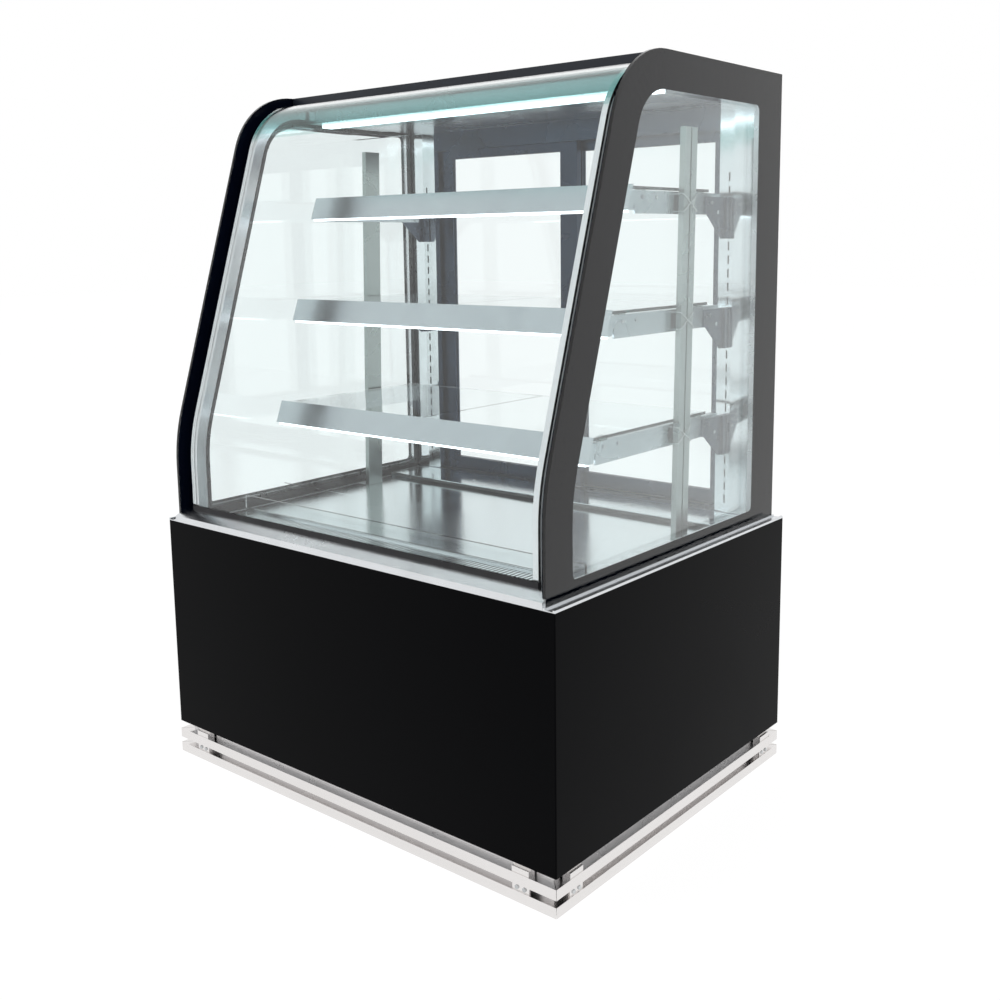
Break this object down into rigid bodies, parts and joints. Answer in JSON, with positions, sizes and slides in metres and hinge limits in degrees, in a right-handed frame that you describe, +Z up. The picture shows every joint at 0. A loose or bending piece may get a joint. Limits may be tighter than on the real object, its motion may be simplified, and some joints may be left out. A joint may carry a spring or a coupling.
{
  "type": "glass display showcase",
  "caption": "Refrigerated glass display showcase on a dark base cabinet, with a bent glass front, glazed ends, glass shelves and sliding rear doors.",
  "frame": {"origin": "centre of the footprint, on the floor", "axes": "+Z up, -Y towards the bent glass front that customers face, +X to the right seen from the front"},
  "size_m": [0.9, 0.69, 1.24],
  "materials": {
    "plinth": "satin",
    "skirt": "satin",
    "cabinet": "gloss",
    "service_panel": "satin",
    "inner_frame": "galvanised",
    "controller": "fine grain",
    "button": "matte",
    "rocker": "gloss",
    "inlet": "matte",
    "tub": "satin",
    "coil": "finned",
    "mount_sheet": "galvanised",
    "fan": "matte",
    "compressor": "satin",
    "pipe": "copper",
    "drain_tray": "matte",
    "ledge": "brushed",
    "deck": "polished",
    "fence": "clear",
    "track": "satin anodised",
    "jamb": "satin anodised",
    "end_glass": "clear",
    "border": "printed gloss",
    "spacer": "mill",
    "channel": "satin anodised",
    "front_glass": "clear",
    "gasket": "matte",
    "top": "satin",
    "canopy": "satin",
    "lamp": "diffuser",
    "post": "polished",
    "pole": "satin",
    "door_frame": "satin anodised",
    "door_glass": "clear",
    "shelf_rail": "satin anodised",
    "shelf_arm": "satin",
    "bracket": "satin",
    "shelf_glass": "clear",
    "pad": "clear",
    "wire": "polished",
    "screw": "polished"
  },
  "bodies": {
    "case": {"plinth_rails": "plinth", "plinth_clips": "plinth", "plinth_skirt": "skirt", "front_panel": "cabinet", "side_panels": "cabinet", "rear_grille": "service_panel", "control_panel": "service_panel", "base_tray": "inner_frame", "base_frame": "inner_frame", "controller": "controller", "power_inlet": "inlet", "cold_tub": "tub", "evaporator_coil": "coil", "condenser_coil": "coil", "fan_panel": "mount_sheet", "condenser_shroud": "mount_sheet", "compressor": "compressor", "refrigerant_pipes": "pipe", "drain_tray": "drain_tray", "front_ledge": "ledge", "side_ledges": "ledge", "deck_panel": "deck", "front_grille": "deck", "duct_cover": "deck", "air_fence": "fence", "door_sill": "track", "door_header": "track", "door_jambs": "jamb", "end_glass_left": "end_glass", "end_glass_right": "end_glass", "end_borders": "border", "end_spacers": "spacer", "end_channels": "channel", "front_glass": "front_glass", "glass_gaskets": "gasket", "top_panel": "top", "canopy_box": "canopy", "lamp_strips": "lamp", "rear_posts": "post", "side_poles": "pole", "shelf_rails": "shelf_rail", "shelf_arms": "shelf_arm", "shelf_brackets": "bracket", "shelf_glass_lower": "shelf_glass", "shelf_glass_middle": "shelf_glass", "shelf_glass_top": "shelf_glass", "shelf_pads": "pad", "wire_clips": "wire", "screws": "screw"},
    "left_door": {"left_door_frame": "door_frame", "left_door_glass": "door_glass"},
    "right_door": {"right_door_frame": "door_frame", "right_door_glass": "door_glass"},
    "condenser_fan": {"condenser_fan": "fan"},
    "evaporator_fan": {"evaporator_fan": "fan"},
    "power_rocker": {"power_rocker": "rocker"},
    "light_rocker": {"light_rocker": "rocker"},
    "button_set": {"button_set": "button"},
    "button_up": {"button_up": "button"},
    "button_down": {"button_down": "button"}
  },
  "joints": [
    {"name": "left_door_slide", "type": "slide", "parent": "case", "child": "left_door", "axis": [1, 0, 0], "range_m": [0, 0.325]},
    {"name": "right_door_slide", "type": "slide", "parent": "case", "child": "right_door", "axis": [1, 0, 0], "range_m": [-0.325, 0]},
    {"name": "condenser_fan_spin", "type": "hinge", "parent": "case", "child": "condenser_fan", "pos_m": [-0.19, 0.165, 0.186], "axis": [0, 1, 0], "continuous": true},
    {"name": "evaporator_fan_spin", "type": "hinge", "parent": "case", "child": "evaporator_fan", "pos_m": [0, 0.043, 0.414], "axis": [0, 1, 0], "continuous": true},
    {"name": "power_rocker_tilt", "type": "hinge", "parent": "case", "child": "power_rocker", "pos_m": [-0.15, 0.341, 0.4], "axis": [1, 0, 0], "range_deg": [0, 16]},
    {"name": "light_rocker_tilt", "type": "hinge", "parent": "case", "child": "light_rocker", "pos_m": [-0.11, 0.341, 0.4], "axis": [1, 0, 0], "range_deg": [0, 16]},
    {"name": "button_set_press", "type": "slide", "parent": "case", "child": "button_set", "axis": [0, -1, 0], "range_m": [0, 0.0008], "stiffness_N_per_m": 400},
    {"name": "button_up_press", "type": "slide", "parent": "case", "child": "button_up", "axis": [0, -1, 0], "range_m": [0, 0.0008], "stiffness_N_per_m": 400},
    {"name": "button_down_press", "type": "slide", "parent": "case", "child": "button_down", "axis": [0, -1, 0], "range_m": [0, 0.0008], "stiffness_N_per_m": 400}
  ]
}
